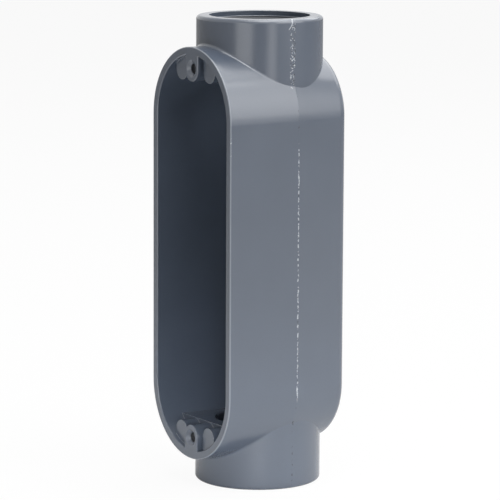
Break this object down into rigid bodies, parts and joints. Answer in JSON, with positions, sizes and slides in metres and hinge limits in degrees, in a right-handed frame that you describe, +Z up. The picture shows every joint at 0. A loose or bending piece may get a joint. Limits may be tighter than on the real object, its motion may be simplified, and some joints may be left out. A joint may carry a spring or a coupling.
{
  "type": "conduit body",
  "caption": "Straight-through cast conduit body: a round-ended box, open on one long side for its cover, with a threaded conduit hub at each end.",
  "frame": {"origin": "on the axis of the two hubs, where the lower hub's conduit thread starts, 2.4 mm above that hub's end face", "axes": "+Z up along the hubs, from the lower hub to the upper one; -Y out of the open cover face; X across the box"},
  "size_m": [0.0694, 0.0702, 0.2282],
  "materials": {
    "body_paint": "semi-gloss blue-grey powder coat on a die-cast aluminium body, a little textured by the casting"
  },
  "bodies": {
    "root": {"conduit_body": "body_paint"}
  },
  "joints": []
}
